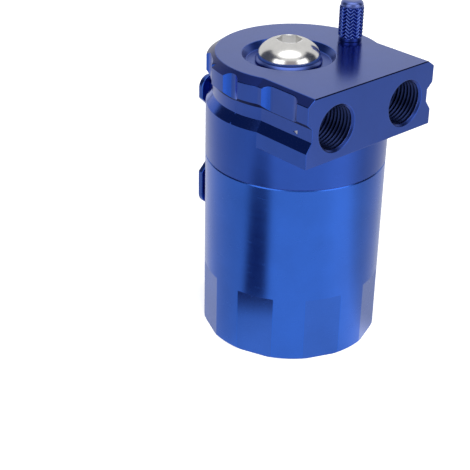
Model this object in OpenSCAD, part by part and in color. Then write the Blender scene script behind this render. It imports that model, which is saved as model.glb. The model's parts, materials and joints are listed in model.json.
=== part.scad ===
// Oil catch can: a turned cup with a drain plug under a machined head that carries two ports,
// a breather plug, a dipstick, a mounting bracket and a baffle of wire mesh between two plates.
// Millimetres, +Z up, origin on the can's axis at the plane that the cup stands on.
// The port face looks along -Y, the bracket is on the +Y side.

/* [Cup] */
// Radius of the can's outside
can_r = 32.5; // [32:0.1:33]
// Height of the cup, from its foot to the seam under the head
cup_h = 68.5; // [64:0.5:80]
// Thickness of the cup's wall
cup_wall = 3.5; // [3:0.1:4]
// Thickness of the cup's floor
floor_t = 8; // [7:0.5:9]
// Width of each wrench flat round the cup's foot
flat_w = 14; // [10:0.5:18]
// Height of the wrench flats
flat_h = 24.8; // [15:0.2:30]
// Number of wrench flats
flat_count = 8; // [6:1:8]
// Chamfer on the cup's foot and at the seam
edge_chamfer = 0.4; // [0.2:0.1:0.6]

/* [Head] */
// Height of the head above the seam
head_h = 38.1; // [36:0.1:42]
// Distance from the can's axis to the port face
face_y = 35; // [34.5:0.1:36]
// How far the port block's sides stand in from the can's sides
block_in = 2.1; // [1.5:0.1:3.5]
// Depth of the groove into the side
groove_in = 2.4; // [1.8:0.1:2.8]
// Width of the top chamfer
chamfer_in = 3.1; // [2.5:0.1:3.5]
// Height of the top chamfer
chamfer_h = 2.2; // [1.5:0.1:3]
// Height of the land under the top chamfer
land_h = 6; // [4:0.1:7]
// Height of the undercut from the land into the groove
undercut_h = 2.2; // [1:0.1:3]
// Height of the groove's floor
groove_h = 4.5; // [3:0.1:5]
// Height of the shoulder from the groove out to the body
shoulder_h = 3.4; // [2:0.1:4]
// Height of the port block's straight side under the shoulder
skirt_h = 5.5; // [4:0.1:7]
// Depth of the scallops milled in the land
scallop_in = 1.8; // [1:0.1:2.2]
// Radius at the ends of each scallop
scallop_end_r = 5; // [3:0.5:6]

/* [Ports] */
// Distance from the port block's side in to each port's axis
port_in = 13.65; // [12:0.05:15]
// Height of the port axes under the head's top
port_drop = 12.75; // [12:0.05:14]
// Radius of the tapped port at its thread's crests
port_r = 7.6; // [6:0.1:8]
// Length of the tapped port
port_depth = 13; // [10:0.5:14]
// Width of the countersink at the port's mouth
port_sink = 0.8; // [0.4:0.1:1.2]
// Radius of the gallery behind each port
gallery_r = 5; // [4:0.1:5.5]

/* [Breather plug] */
// Sideways place of the breather plug
plug_x = -4.8; // [-6:0.1:-3]
// Place of the breather plug along Y
plug_y = 0.5; // [-1:0.1:3]
// Radius of the recess round the plug, at its floor
recess_r = 14.9; // [13:0.1:15.5]
// Depth of the recess
recess_depth = 2.5; // [1.5:0.1:3]
// How much wider the recess is at the top
recess_flare = 1.5; // [0.5:0.1:2]
// Radius of the plug's thread
plug_r = 5.9; // [5:0.1:6.5]
// Length of the plug's thread
plug_len = 9; // [7:0.5:12]
// Radius of the plug's button head
plug_head_r = 11; // [9:0.1:11.5]
// Height of the plug's button head
plug_head_h = 7.6; // [6:0.1:8]
// Height of the straight rim under the plug's dome
plug_rim_h = 0.8; // [0.4:0.1:1.5]
// Size across flats of the plug's hex socket
plug_hex = 8; // [6:0.5:8]
// Depth of the plug's hex socket
plug_hex_depth = 3.9; // [3:0.1:4.5]
// Angle of the plug's hex socket about its axis
plug_hex_turn = 18; // [0:1:60]
// Radius of the sealing washer
plug_washer_r = 11.7; // [9.5:0.1:12.5]
// Thickness of the sealing washer
plug_washer_t = 1.5; // [1:0.1:2]

/* [Dipstick] */
// Distance from the port block's side in to the dipstick
dip_in = 7.6; // [7:0.1:9]
// Place of the dipstick along Y
dip_y = -2.2; // [-3:0.1:0]
// Radius of the knurled knob
knob_r = 4.35; // [4.2:0.05:4.6]
// Height of the knob
knob_h = 14.5; // [10:0.1:18]
// Length of the knob's smooth collar
knob_collar = 1.3; // [0.4:0.1:2]
// Length of the knob's rounded end
knob_end = 1.3; // [1:0.1:2]
// Number of knurl diamonds round the knob
knurl_count = 14; // [10:1:18]
// Number of knurl diamonds along the knob
knurl_rows = 12; // [8:1:16]
// Depth of the knurl
knurl_depth = 0.25; // [0.2:0.05:0.5]
// Radius of the knob's stem
stem_r = 3; // [2.6:0.1:3.2]
// Length of the knob's stem
stem_len = 8; // [6:0.5:10]
// Radius of the dipstick's rod
rod_r = 1.5; // [1.2:0.1:1.8]
// Gap from the rod's tip to the cup's floor
rod_floor_gap = 2; // [1:0.5:10]
// Distance between the rod's two level marks
level_span = 20; // [10:1:25]

/* [Seals] */
// Radius of the cord of the seal between cup and head
cup_seal_cord = 0.85; // [0.7:0.05:0.9]
// Radius of the cord of the dipstick's seal
dip_seal_cord = 0.4; // [0.3:0.05:0.45]
// Space left round each seal in its seat
seal_gap = 0.05; // [0.03:0.01:0.1]

/* [Baffle] */
// Depth of the spigot that screws into the cup
spigot_h = 8; // [6:0.5:10]
// Thickness of the spigot's wall
spigot_wall = 2.4; // [2:0.1:3]
// Height of the head's cavity above the seam
roof_h = 11.5; // [11:0.5:12]
// Distance from the plates' edge in to the standoffs
post_in = 6.2; // [5.5:0.1:7]
// Length of each standoff
post_len = 10; // [9:0.5:12]
// Size across flats of each standoff
post_hex = 7; // [6:0.5:8]
// Radius of the baffle's screws
screw_r = 2; // [1.5:0.1:2]
// Thickness of the baffle's plates
plate_t = 1.5; // [1:0.1:2]
// Thickness of the mesh pack
mesh_t = 8; // [5:0.5:10]
// Radius of the holes in the perforated plates
vent_r = 1.4; // [1:0.1:1.6]
// Distance between rings of holes in the perforated plates
vent_pitch = 4.6; // [4.4:0.1:6]
// Outer radius of the drop tube under the inlet
tube_r = 5; // [4.8:0.1:5.2]
// Thickness of the drop tube's wall
tube_wall = 1; // [0.6:0.1:1.5]
// Length of the drop tube in the head
tube_seat = 5; // [3:0.5:5]
// Distance from the seam down to the drop tube's tip
tube_reach = 22; // [18:1:30]
// Gap between the drop tube and the spigot's bore
tube_clear = 0.6; // [0.4:0.1:1]

/* [Bracket] */
// Thickness of the bracket's plate
bracket_t = 2.2; // [2:0.1:2.6]
// Gap between the cup and the bracket's plate
bracket_gap = 0.3; // [0.3:0.05:0.5]
// Half width of the bracket's two wings
wing_half = 16.2; // [15:0.1:18]
// Half width of the bracket's waist
waist_half = 13; // [12:0.1:14]
// Height of the upper wing's straight edge
upper_wing_h = 8.3; // [8:0.1:10]
// Height of the lower wing's straight edge
lower_wing_h = 13.8; // [12:0.1:16]
// Distance from the seam down to the foot of the bracket
bracket_drop = 29.5; // [25:0.5:32]
// Distance from the seam up to the top of the bracket
bracket_rise = 22.3; // [21:0.1:23]
// Height of the bevel between waist and wings
wing_bevel = 3.2; // [2:0.1:4.5]
// Radius of the wings' corners
wing_corner_r = 4.3; // [3:0.1:6]
// Radius of the holes for fixing the bracket to the car
fixing_r = 3.25; // [2.5:0.05:3.5]
// Distance from the middle to each fixing hole
fixing_x = 9.5; // [8:0.5:11]
// Radius of the two screws that hold the bracket to the head
clamp_screw_r = 2.5; // [2:0.1:2.5]
// Distance from the middle to each of those screws
clamp_x = 8.5; // [7:0.5:10]
// Distance from the bracket's top down to those screws
clamp_drop = 6.6; // [6:0.1:7.5]
// Length of those screws under the plate
clamp_len = 8; // [6:0.5:9]
// Height of the head's pad under those screws
pad_margin = 4.5; // [3.5:0.1:5]

/* [Drain plug] */
// Radius of the drain plug's thread
drain_r = 4.9; // [4:0.1:5.5]
// Radius of the drain plug's head
drain_head_r = 7.2; // [6:0.1:8]
// Height of the drain plug's head
drain_head_h = 2.8; // [2:0.1:3]
// Thickness of the drain plug's washer
drain_washer_t = 1; // [0.8:0.1:1.2]
// How far the drain plug's head stays above the cup's foot
drain_inset = 0.7; // [0.5:0.1:1]
// Size across flats of the drain plug's hex socket
drain_hex = 6; // [5:0.5:6]
// Depth of the drain plug's hex socket
drain_hex_depth = 2; // [1.5:0.1:2]

/* [Fits] */
// Radial clearance of each thread and stem in its hole
thread_gap = 0.08; // [0.04:0.01:0.1]
// Clearance of pieces that are pushed together and stay
push_gap = 0.02; // [0.01:0.01:0.05]
// Clearance of plates and pack inside the spigot
plate_gap = 0.3; // [0.2:0.05:0.5]

/* [Hidden] */
$fn = 96;
eps = 0.01;
bite = 1;

// Levels of the head, from the seam up
seam_z = cup_h;
top_z = seam_z + head_h;
land_top_z = top_z - chamfer_h;
land_foot_z = land_top_z - land_h;
groove_top_z = land_foot_z - undercut_h;
groove_foot_z = groove_top_z - groove_h;
shoulder_z = groove_foot_z - shoulder_h;
block_z = shoulder_z - skirt_h;
roof_z = seam_z + roof_h;
port_z = top_z - port_drop;
port_x = can_r - block_in - port_in;

// Cup and spigot
cup_bore_r = can_r - cup_wall;
spigot_r = cup_bore_r - thread_gap;
cavity_r = spigot_r - spigot_wall;
block_half = can_r - block_in;
flat_dist = sqrt(can_r * can_r - flat_w * flat_w / 4);
floor_fillet = 2;

// Cup seal, in a rebate of the cup's rim
cup_seal_r = spigot_r + seal_gap + cup_seal_cord;
cup_rebate_r = cup_seal_r + cup_seal_cord + seal_gap;
cup_rebate_h = 2 * (cup_seal_cord + seal_gap);

// Breather plug
recess_z = top_z - recess_depth;
plug_seat_z = recess_z + plug_washer_t;
plug_dome_h = plug_head_h - plug_rim_h;
plug_dome_r = (plug_head_r * plug_head_r + plug_dome_h * plug_dome_h) / (2 * plug_dome_h);

// Dipstick
dip_x = block_half - dip_in;
stem_hole_r = stem_r + thread_gap;
dip_seal_r = stem_r + seal_gap + dip_seal_cord;
dip_seat_r = dip_seal_r + dip_seal_cord + seal_gap;
dip_seat_h = 2 * (dip_seal_cord + seal_gap);
rod_hole_r = rod_r + 0.7;
rod_socket = 6;
rod_tip_z = floor_t + rod_floor_gap;
level_mark_h = 0.8;
level_mark_in = 0.3;

// Baffle
post_angles = [30, 150, 270];
post_foot_z = roof_z - post_len;
upper_plate_z = post_foot_z - plate_t;
mesh_z = upper_plate_z - mesh_t;
retainer_z = mesh_z - plate_t;
plate_r = cavity_r - plate_gap;
post_circle_r = plate_r - post_in;
passage_r = tube_r - tube_wall;
passage_circle_r = cavity_r - tube_r - tube_clear;
passage_y = sqrt(max(0, passage_circle_r * passage_circle_r - port_x * port_x));
screw_hole_r = screw_r + thread_gap;
screw_head_r = 1.8 * screw_r;
screw_head_h = 1.1 * screw_r;
stud_len = 6;
post_tap_depth = 6;
tube_bore_r = tube_r - tube_wall;
vent_rings = floor((plate_r - vent_r) / vent_pitch);

// Bracket
bracket_y = can_r + bracket_gap;
bracket_top_z = seam_z + bracket_rise;
bracket_foot_z = seam_z - bracket_drop;
clamp_z = bracket_top_z - clamp_drop;
fixing_z = bracket_foot_z + lower_wing_h / 2;
clamp_head_r = clamp_screw_r + bracket_t;
pad_half = waist_half;
pad_z = clamp_z - pad_margin;
clamp_hex = 3;
clamp_hex_depth = 1.6;

// Drain plug
drain_head_z = drain_inset;
drain_seat_z = drain_head_z + drain_head_h;
drain_pocket_h = drain_seat_z + drain_washer_t;
drain_hole_r = drain_r + thread_gap;
drain_pocket_r = drain_head_r + 1;
drain_tip_z = floor_t - 0.3;

// Scallops: middle along Y and length of the straight ones, angle and length of the round ones
side_scallop_y = 13.5 - face_y;
side_scallop_len = 19;
round_scallop_angle = 166;
round_scallop_len = 16;

// Inlet arrow engraved in the groove on the inlet's side, pointing away from the port face
arrow_y = 7.8 - face_y;
arrow_len = 2;
arrow_lift = 1.3;
arrow_depth = 0.3;

// Radius of a hexagon's corners from its size across flats
function hex_r(across) = across / sqrt(3);

// Half of the head's side, from the shoulder up, at half width w
function side_profile(w) = [
    [w, shoulder_z],
    [w - groove_in, groove_foot_z],
    [w - groove_in, groove_top_z],
    [w, land_foot_z],
    [w, land_top_z],
    [w - chamfer_in, top_z]
];

// The same points on the other side, from the top down
function mirrored(points) = [for (i = [len(points) - 1:-1:0]) [-points[i][0], points[i][1]]];

// Hexagonal pocket or bar of the given size across flats, standing on the XY plane
module hex_bar(across, h) {
    cylinder(r = hex_r(across), h = h, $fn = 6);
}

// Ring of round section: r to the middle of its cord
module cord_ring(r, cord) {
    rotate_extrude() translate([r, 0]) circle(r = cord, $fn = 32);
}

// Places its children at each post of the baffle
module at_post(i) {
    translate([post_circle_r * cos(post_angles[i]), post_circle_r * sin(post_angles[i]), 0]) children();
}

module at_plug() {
    translate([plug_x, plug_y, 0]) children();
}

module at_dipstick() {
    translate([dip_x, dip_y, 0]) children();
}

module at_inlet() {
    translate([-port_x, -passage_y, 0]) children();
}

module at_outlet() {
    translate([port_x, -passage_y, 0]) children();
}

// Upright plate: the XY outline of its children, standing in XZ from y0 and t thick
module upright(y0, t) {
    translate([0, y0 + t, 0]) rotate([90, 0, 0]) linear_extrude(t) children();
}

// Cutter of one scallop: a flat floor at distance d along X with a round end on each side
module scallop(d, length) {
    out = scallop_end_r + bite;
    z = groove_top_z + eps;
    h = top_z + bite - z;
    run = length / 2 - scallop_end_r;
    translate([d, -run, z]) cube([out, 2 * run, h]);
    for (side = [-1, 1])
        translate([d + scallop_end_r, side * run, z]) cylinder(r = scallop_end_r, h = h);
}

module cup() {
    color("royalblue") difference() {
        rotate_extrude() polygon([
            [0, 0],
            [can_r - edge_chamfer, 0],
            [can_r, edge_chamfer],
            [can_r, seam_z - edge_chamfer],
            [can_r - edge_chamfer, seam_z],
            [cup_rebate_r, seam_z],
            [cup_rebate_r, seam_z - cup_rebate_h],
            [cup_bore_r, seam_z - cup_rebate_h],
            [cup_bore_r, floor_t + floor_fillet],
            [cup_bore_r - floor_fillet, floor_t],
            [0, floor_t]
        ]);
        for (i = [0:flat_count - 1])
            rotate((i + 0.5) * 360 / flat_count)
                translate([flat_dist, -flat_w, -bite]) cube([bite + can_r, 2 * flat_w, flat_h + bite]);
        translate([0, 0, -bite]) cylinder(r = drain_pocket_r, h = drain_pocket_h + bite);
        cylinder(r = drain_hole_r, h = floor_t + bite);
    }
}

module cup_seal_ring() {
    color("black") translate([0, 0, seam_z - cup_rebate_h / 2]) cord_ring(cup_seal_r, cup_seal_cord);
}

// Turned body of the head with its spigot, before anything is drilled
module head_body() {
    rotate_extrude() polygon(concat(
        [
            [0, seam_z - spigot_h],
            [spigot_r - edge_chamfer, seam_z - spigot_h],
            [spigot_r, seam_z - spigot_h + edge_chamfer],
            [spigot_r, seam_z],
            [can_r - edge_chamfer, seam_z],
            [can_r, seam_z + edge_chamfer]
        ],
        side_profile(can_r),
        [[0, top_z]]
    ));
    right = concat([[block_half, block_z]], side_profile(block_half));
    upright(-face_y, face_y) polygon(concat(right, mirrored(right)));
    translate([-pad_half, 0, pad_z]) cube([2 * pad_half, bracket_y, shoulder_z - pad_z]);
}

// One port: countersink, tapped length, gallery and the passage down into the can
module port_holes(side) {
    translate([side * port_x, -face_y, port_z]) rotate([-90, 0, 0]) {
        translate([0, 0, -eps]) cylinder(r1 = port_r + port_sink, r2 = port_r, h = port_sink);
        translate([0, 0, -bite]) cylinder(r = port_r, h = port_depth + bite);
        cylinder(r = gallery_r, h = face_y - passage_y + gallery_r);
    }
    translate([side * port_x, -passage_y, roof_z - bite]) cylinder(r = passage_r, h = port_z - roof_z + bite);
}

module head() {
    color("mediumblue") difference() {
        head_body();
        translate([0, 0, seam_z - spigot_h - bite]) cylinder(r = cavity_r, h = roof_z - seam_z + spigot_h + bite);
        for (side = [-1, 1]) port_holes(side);
        at_inlet() translate([0, 0, roof_z - bite]) cylinder(r = tube_r + push_gap, h = tube_seat + bite);
        at_plug() {
            translate([0, 0, recess_z]) cylinder(r1 = recess_r, r2 = recess_r + recess_flare, h = recess_depth + eps);
            translate([0, 0, roof_z - bite]) cylinder(r = plug_r + thread_gap, h = head_h);
        }
        at_dipstick() {
            translate([0, 0, roof_z - bite]) cylinder(r = rod_hole_r, h = head_h);
            translate([0, 0, top_z - stem_len - thread_gap]) cylinder(r = stem_hole_r, h = head_h);
            translate([0, 0, top_z - dip_seat_h]) cylinder(r = dip_seat_r, h = head_h);
        }
        for (i = [0:len(post_angles) - 1])
            at_post(i) translate([0, 0, roof_z - bite]) cylinder(r = screw_hole_r, h = stud_len + thread_gap + bite);
        for (side = [-1, 1]) {
            translate([side * clamp_x, bracket_y - clamp_len - thread_gap, clamp_z]) rotate([-90, 0, 0])
                cylinder(r = clamp_screw_r + thread_gap, h = clamp_len + bite + bracket_t);
            mirror([side < 0 ? 1 : 0, 0, 0]) {
                translate([0, side_scallop_y, 0]) scallop(block_half - scallop_in, side_scallop_len);
                rotate(180 - round_scallop_angle) scallop(can_r - scallop_in, round_scallop_len);
            }
        }
        translate([-block_half + groove_in - bite, arrow_y, groove_foot_z + arrow_lift]) rotate([0, 90, 0])
            linear_extrude(arrow_depth + bite)
                polygon([[-arrow_len / 2, -arrow_len / 2], [arrow_len / 2, -arrow_len / 2], [0, arrow_len / 2]]);
    }
}

module breather_plug_bolt() {
    color("silver") at_plug() {
        difference() {
            translate([0, 0, plug_seat_z]) {
                cylinder(r = plug_head_r, h = plug_rim_h);
                intersection() {
                    translate([0, 0, plug_head_h - plug_dome_r]) sphere(r = plug_dome_r);
                    translate([0, 0, plug_rim_h - eps]) cylinder(r = plug_head_r, h = plug_head_h);
                }
            }
            translate([0, 0, plug_seat_z + plug_head_h - plug_hex_depth]) rotate(plug_hex_turn)
                hex_bar(plug_hex, plug_hex_depth + bite);
        }
        translate([0, 0, recess_z - plug_len]) cylinder(r = plug_r, h = plug_len + plug_washer_t + eps);
    }
}

module breather_plug_washer() {
    color("royalblue") at_plug() translate([0, 0, recess_z]) difference() {
        cylinder(r = plug_washer_r, h = plug_washer_t);
        translate([0, 0, -bite]) cylinder(r = plug_r + thread_gap, h = plug_washer_t + 2 * bite);
    }
}

// Band of diamond knurl: points stand high and low by turns round each ring and from ring to ring
module knurl_band(r, depth, h) {
    cols = 2 * knurl_count;
    rows = 2 * knurl_rows;
    function ring_point(j, k) =
        let (a = k * 360 / cols, rr = (j + k) % 2 == 0 ? r : r - depth)
        [rr * cos(a), rr * sin(a), j * h / rows];
    function cell(j, k) =
        let (
            low_left = j * cols + k,
            low_right = j * cols + (k + 1) % cols,
            up_left = low_left + cols,
            up_right = low_right + cols
        )
        (j + k) % 2 == 0
            ? [[low_left, up_left, low_right], [low_right, up_left, up_right]]
            : [[low_left, up_left, up_right], [low_left, up_right, low_right]];
    polyhedron(
        points = [for (j = [0:rows], k = [0:cols - 1]) ring_point(j, k)],
        faces = concat(
            [[for (k = [0:cols - 1]) k]],
            [for (j = [0:rows - 1], k = [0:cols - 1]) each cell(j, k)],
            [[for (k = [cols - 1:-1:0]) rows * cols + k]]
        )
    );
}

module dipstick_knob() {
    smooth_r = knob_r - knurl_depth - 0.05;
    color("blue") at_dipstick() difference() {
        union() {
            translate([0, 0, top_z - stem_len]) cylinder(r = stem_r, h = stem_len + bite);
            translate([0, 0, top_z]) cylinder(r = smooth_r, h = knob_collar + bite);
            translate([0, 0, top_z + knob_collar]) knurl_band(knob_r, knurl_depth, knob_h - knob_collar - knob_end);
            translate([0, 0, top_z + knob_h - knob_end - eps])
                cylinder(r1 = smooth_r, r2 = knob_r - knob_end, h = knob_end + eps);
        }
        translate([0, 0, top_z - stem_len - bite]) cylinder(r = rod_r + push_gap, h = rod_socket + bite);
    }
}

module dipstick_rod() {
    rod_top_z = top_z - stem_len + rod_socket - push_gap;
    color("silver") at_dipstick() difference() {
        translate([0, 0, rod_tip_z]) cylinder(r = rod_r, h = rod_top_z - rod_tip_z);
        for (k = [1, 2])
            translate([0, 0, rod_tip_z + 4 + (k - 1) * level_span]) difference() {
                cylinder(r = rod_r + bite, h = level_mark_h);
                translate([0, 0, -bite]) cylinder(r = rod_r - level_mark_in, h = level_mark_h + 2 * bite);
            }
    }
}

module dipstick_seal_ring() {
    color("black") at_dipstick() translate([0, 0, top_z - dip_seat_h / 2]) cord_ring(dip_seal_r, dip_seal_cord);
}

// Half of the bracket's outline with sharp corners, from its foot up
bracket_side = [
    [wing_half, bracket_foot_z],
    [wing_half, bracket_foot_z + lower_wing_h],
    [waist_half, bracket_foot_z + lower_wing_h + wing_bevel],
    [waist_half, bracket_top_z - upper_wing_h - wing_bevel],
    [wing_half, bracket_top_z - upper_wing_h],
    [wing_half, bracket_top_z]
];

// What is cut from a corner at the origin to round it, inwards along -X and -Y
module corner_cut(r) {
    difference() {
        translate([-r, -r]) square(r + bite);
        translate([-r, -r]) circle(r = r);
    }
}

module bracket_outline() {
    difference() {
        polygon(concat(bracket_side, mirrored(bracket_side)));
        for (side = [0, 1]) mirror([side, 0]) {
            translate([wing_half, bracket_top_z]) corner_cut(wing_corner_r);
            translate([wing_half, bracket_foot_z]) mirror([0, 1]) corner_cut(wing_corner_r);
        }
    }
}

module mounting_bracket() {
    color("darkblue") difference() {
        upright(bracket_y, bracket_t) bracket_outline();
        for (side = [-1, 1]) {
            translate([side * fixing_x, bracket_y - bite, fixing_z]) rotate([-90, 0, 0])
                cylinder(r = fixing_r, h = bracket_t + 2 * bite);
            translate([side * clamp_x, bracket_y, clamp_z]) rotate([-90, 0, 0]) {
                cylinder(r1 = clamp_screw_r + thread_gap, r2 = clamp_head_r + thread_gap, h = bracket_t + eps);
                translate([0, 0, -bite]) cylinder(r = clamp_screw_r + thread_gap, h = bracket_t + bite);
            }
        }
    }
}

// Countersunk screw that holds the bracket to the head
module bracket_screw(side) {
    color("silver") translate([side * clamp_x, bracket_y, clamp_z]) rotate([-90, 0, 0]) difference() {
        union() {
            translate([0, 0, -clamp_len]) cylinder(r = clamp_screw_r, h = clamp_len + eps);
            cylinder(r1 = clamp_screw_r, r2 = clamp_head_r, h = bracket_t);
        }
        translate([0, 0, bracket_t - clamp_hex_depth]) hex_bar(clamp_hex, clamp_hex_depth + bite);
    }
}

module drop_tube() {
    tip_z = seam_z - tube_reach;
    color("silver") at_inlet() difference() {
        translate([0, 0, tip_z]) cylinder(r = tube_r, h = roof_z + tube_seat - tip_z);
        translate([0, 0, tip_z - bite]) cylinder(r = tube_bore_r, h = head_h + tube_reach);
        translate([0, 0, tip_z]) rotate([0, -35, 0]) translate([-4 * tube_r, -2 * tube_r, -4 * tube_r])
            cube([8 * tube_r, 4 * tube_r, 4 * tube_r]);
    }
}

// Holes that let the tube, the rod and the screws through each layer of the baffle
module layer_holes(h) {
    translate([0, 0, -bite]) {
        at_inlet() cylinder(r = tube_r + thread_gap, h = h + 2 * bite);
        at_dipstick() cylinder(r = rod_hole_r, h = h + 2 * bite);
        for (i = [0:len(post_angles) - 1]) at_post(i) cylinder(r = screw_hole_r, h = h + 2 * bite);
    }
}

// True where a vent would break into a hole for a post, the tube or the rod
function vent_clear(x, y) =
    norm([x + port_x, y + passage_y]) > tube_r + vent_r + 1
    && norm([x - dip_x, y - dip_y]) > rod_hole_r + vent_r + 1
    && min([for (a = post_angles) norm([x - post_circle_r * cos(a), y - post_circle_r * sin(a)])])
        > hex_r(post_hex) + vent_r;

// Disc with rings of vents
module perforated_disc() {
    difference() {
        cylinder(r = plate_r, h = plate_t);
        layer_holes(plate_t);
        for (ring = [1:vent_rings - 1], k = [0:6 * ring - 1]) {
            x = ring * vent_pitch * cos(k * 60 / ring);
            y = ring * vent_pitch * sin(k * 60 / ring);
            if (vent_clear(x, y)) translate([x, y, -bite]) cylinder(r = vent_r, h = plate_t + 2 * bite, $fn = 24);
        }
    }
}

module baffle_plate() {
    color("gainsboro") translate([0, 0, upper_plate_z]) perforated_disc();
}

module mesh_pack() {
    color("darkgray") translate([0, 0, mesh_z]) difference() {
        cylinder(r = plate_r, h = mesh_t);
        layer_holes(mesh_t);
    }
}

module mesh_retainer() {
    color("gainsboro") translate([0, 0, retainer_z]) perforated_disc();
}

module baffle_standoff(i) {
    color("silver") at_post(i) translate([0, 0, post_foot_z]) difference() {
        union() {
            hex_bar(post_hex, post_len);
            cylinder(r = screw_r, h = post_len + stud_len);
        }
        translate([0, 0, -bite]) cylinder(r = screw_hole_r, h = post_tap_depth + thread_gap + bite);
    }
}

module baffle_screw(i) {
    color("silver") at_post(i) difference() {
        union() {
            translate([0, 0, retainer_z - screw_head_h]) cylinder(r = screw_head_r, h = screw_head_h);
            translate([0, 0, retainer_z - eps])
                cylinder(r = screw_r, h = post_foot_z + post_tap_depth - retainer_z);
        }
        translate([0, 0, retainer_z - screw_head_h - bite]) hex_bar(1.25 * screw_r, bite + 0.6 * screw_head_h);
    }
}

module drain_plug() {
    color("silver") difference() {
        union() {
            translate([0, 0, drain_head_z]) cylinder(r = drain_head_r, h = drain_head_h);
            translate([0, 0, drain_head_z + eps]) cylinder(r = drain_r, h = drain_tip_z - drain_head_z);
        }
        translate([0, 0, drain_head_z - bite]) hex_bar(drain_hex, drain_hex_depth + bite);
    }
}

module drain_washer() {
    color("darkorange") translate([0, 0, drain_seat_z]) difference() {
        cylinder(r = drain_head_r, h = drain_washer_t);
        translate([0, 0, -bite]) cylinder(r = drain_hole_r, h = drain_washer_t + 2 * bite);
    }
}

cup();
cup_seal_ring();
head();
breather_plug_bolt();
breather_plug_washer();
dipstick_knob();
dipstick_rod();
dipstick_seal_ring();
mounting_bracket();
bracket_screw(-1);  // bracket_screw_left
bracket_screw(1);  // bracket_screw_right
drop_tube();
baffle_plate();
mesh_pack();
mesh_retainer();
for (i = [0:len(post_angles) - 1]) {
    baffle_standoff(i);
    baffle_screw(i);
}
drain_plug();
drain_washer();
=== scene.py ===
"""Looks of the oil catch can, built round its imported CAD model.

Lengths are metres in the model's own frame: +Z up, the port face looks along -Y and the bracket is on
the +Y side.
"""
import json
import math

import bmesh
import bpy
import numpy as np
from mathutils import Matrix, Vector

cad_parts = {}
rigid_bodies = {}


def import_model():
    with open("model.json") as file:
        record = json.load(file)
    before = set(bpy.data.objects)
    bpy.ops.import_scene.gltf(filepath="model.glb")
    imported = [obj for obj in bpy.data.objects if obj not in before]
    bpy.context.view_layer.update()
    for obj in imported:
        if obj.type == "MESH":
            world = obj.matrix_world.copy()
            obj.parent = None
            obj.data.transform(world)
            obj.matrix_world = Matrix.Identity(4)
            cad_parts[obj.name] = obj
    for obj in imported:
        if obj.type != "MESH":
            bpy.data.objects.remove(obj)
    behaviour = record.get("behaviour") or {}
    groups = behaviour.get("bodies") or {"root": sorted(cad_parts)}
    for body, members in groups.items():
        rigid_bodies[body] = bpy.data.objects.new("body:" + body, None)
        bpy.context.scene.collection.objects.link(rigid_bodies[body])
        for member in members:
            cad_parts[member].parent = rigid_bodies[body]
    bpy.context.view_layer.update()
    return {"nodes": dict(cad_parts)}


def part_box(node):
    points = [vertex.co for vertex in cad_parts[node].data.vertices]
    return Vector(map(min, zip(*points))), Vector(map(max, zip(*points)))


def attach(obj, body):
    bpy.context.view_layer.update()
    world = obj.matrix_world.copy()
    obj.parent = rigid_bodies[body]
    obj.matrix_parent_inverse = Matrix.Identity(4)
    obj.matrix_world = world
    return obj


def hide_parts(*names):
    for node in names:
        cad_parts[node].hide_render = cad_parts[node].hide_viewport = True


MM = 0.001

# Camera of the photograph
CAMERA_AZIMUTH = math.radians(-42.339)
CAMERA_ELEVATION = math.radians(28.450)
CAMERA_ROLL = math.radians(1.163)
CAMERA_PLACE = Vector((-0.289283, -0.286008, 0.253675))
CAMERA_LENS = 94.42
CAMERA_SENSOR = 36.0

# Threads: pitch and depth
PORT_THREAD = (1.5 * MM, 0.62 * MM)
SPIGOT_THREAD = (2.0 * MM, 0.7 * MM)
PLUG_THREAD = (1.75 * MM, 0.75 * MM)
DRAIN_THREAD = (1.25 * MM, 0.55 * MM)

# Length of the thread between cup and head, and radii of the screws' shanks
SPIGOT_RUN = 5.4 * MM
PLUG_R = 5.9 * MM
DRAIN_R = 4.9 * MM

# Engraved triangle in the head's groove: its middle Y and Z, half its size, and the X of its floor
MARK = (-27.2 * MM, 93.0 * MM)
MARK_HALF = 1.2 * MM
MARK_FLOOR = (-27.9 * MM, -27.6 * MM)

# Chamfer at the seam between cup and head: how far in it starts, in the CAD model and here
LIP_IN = 0.4 * MM
STEEP_LIP_IN = 0.22 * MM

# Softened edges, and the chamfer along the top of the port face
EDGE_WIDTH = 0.16 * MM
FINE_EDGE_WIDTH = 0.08 * MM
BRACKET_EDGE_WIDTH = 0.3 * MM
FACE_EDGE = 0.32 * MM

# How near to a plane a face or an edge has to be to lie on it
NEAR = 0.01 * MM

# What lies nearer to the axis than this belongs to the inside of cup and head
INSIDE_R = 26 * MM

# Foot of the cup: heights below which edges are softened and faces may be wrench flats
SOFT_FOOT_TOP = 30 * MM
FLATS_TOP = 25 * MM

# Bands of the head that have a finish of their own, most of them a painted highlight or painted shade:
# lowest and highest Z
TURNED_TOP = 88.5 * MM
SHOULDER_BAND = (88.2 * MM, 91.8 * MM)
UNDERCUT_BAND = (96.1 * MM, 98.6 * MM)
RIM_BAND = (98 * MM, 105 * MM)
CHAMFER_FOOT = 104.3 * MM

# Y of the fillets at the front end of the long scallops
FRONT_FILLETS = (-17 * MM, -12.4 * MM)

# Rim of the head, in degrees round Z: sectors that are filled, and where scallops and flutes are cut
FILLED_SECTORS = ((159, 183), (-3, 21))
SCALLOP_TURNS = (146, 34)
FLUTE_TURNS = (180, 0)
RIM_FOOT = 96.22 * MM
CUTTER_HEIGHT = 12 * MM
SCALLOP_FLOOR = 30.7 * MM
SCALLOP_END_R = 5 * MM
SCALLOP_RUN = 3 * MM

# Hex socket of the breather plug
HEX_ACROSS = 8 * MM
HEX_DEPTH = 3.9 * MM
HEX_TURN = 18
DRILL_R = 3.4 * MM

# Knurled knob
KNURL_COUNT = 10
KNURL_ROWS = 9
KNURL_SLANT = 0.9
KNURL_DEPTH = 0.42 * MM
KNURL_STEPS_ACROSS = 20
KNURL_STEPS_UP = 18
KNOB_COLLAR = 1.3 * MM
KNOB_ROUND = 2.0 * MM
STEM_R = 3 * MM

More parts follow.
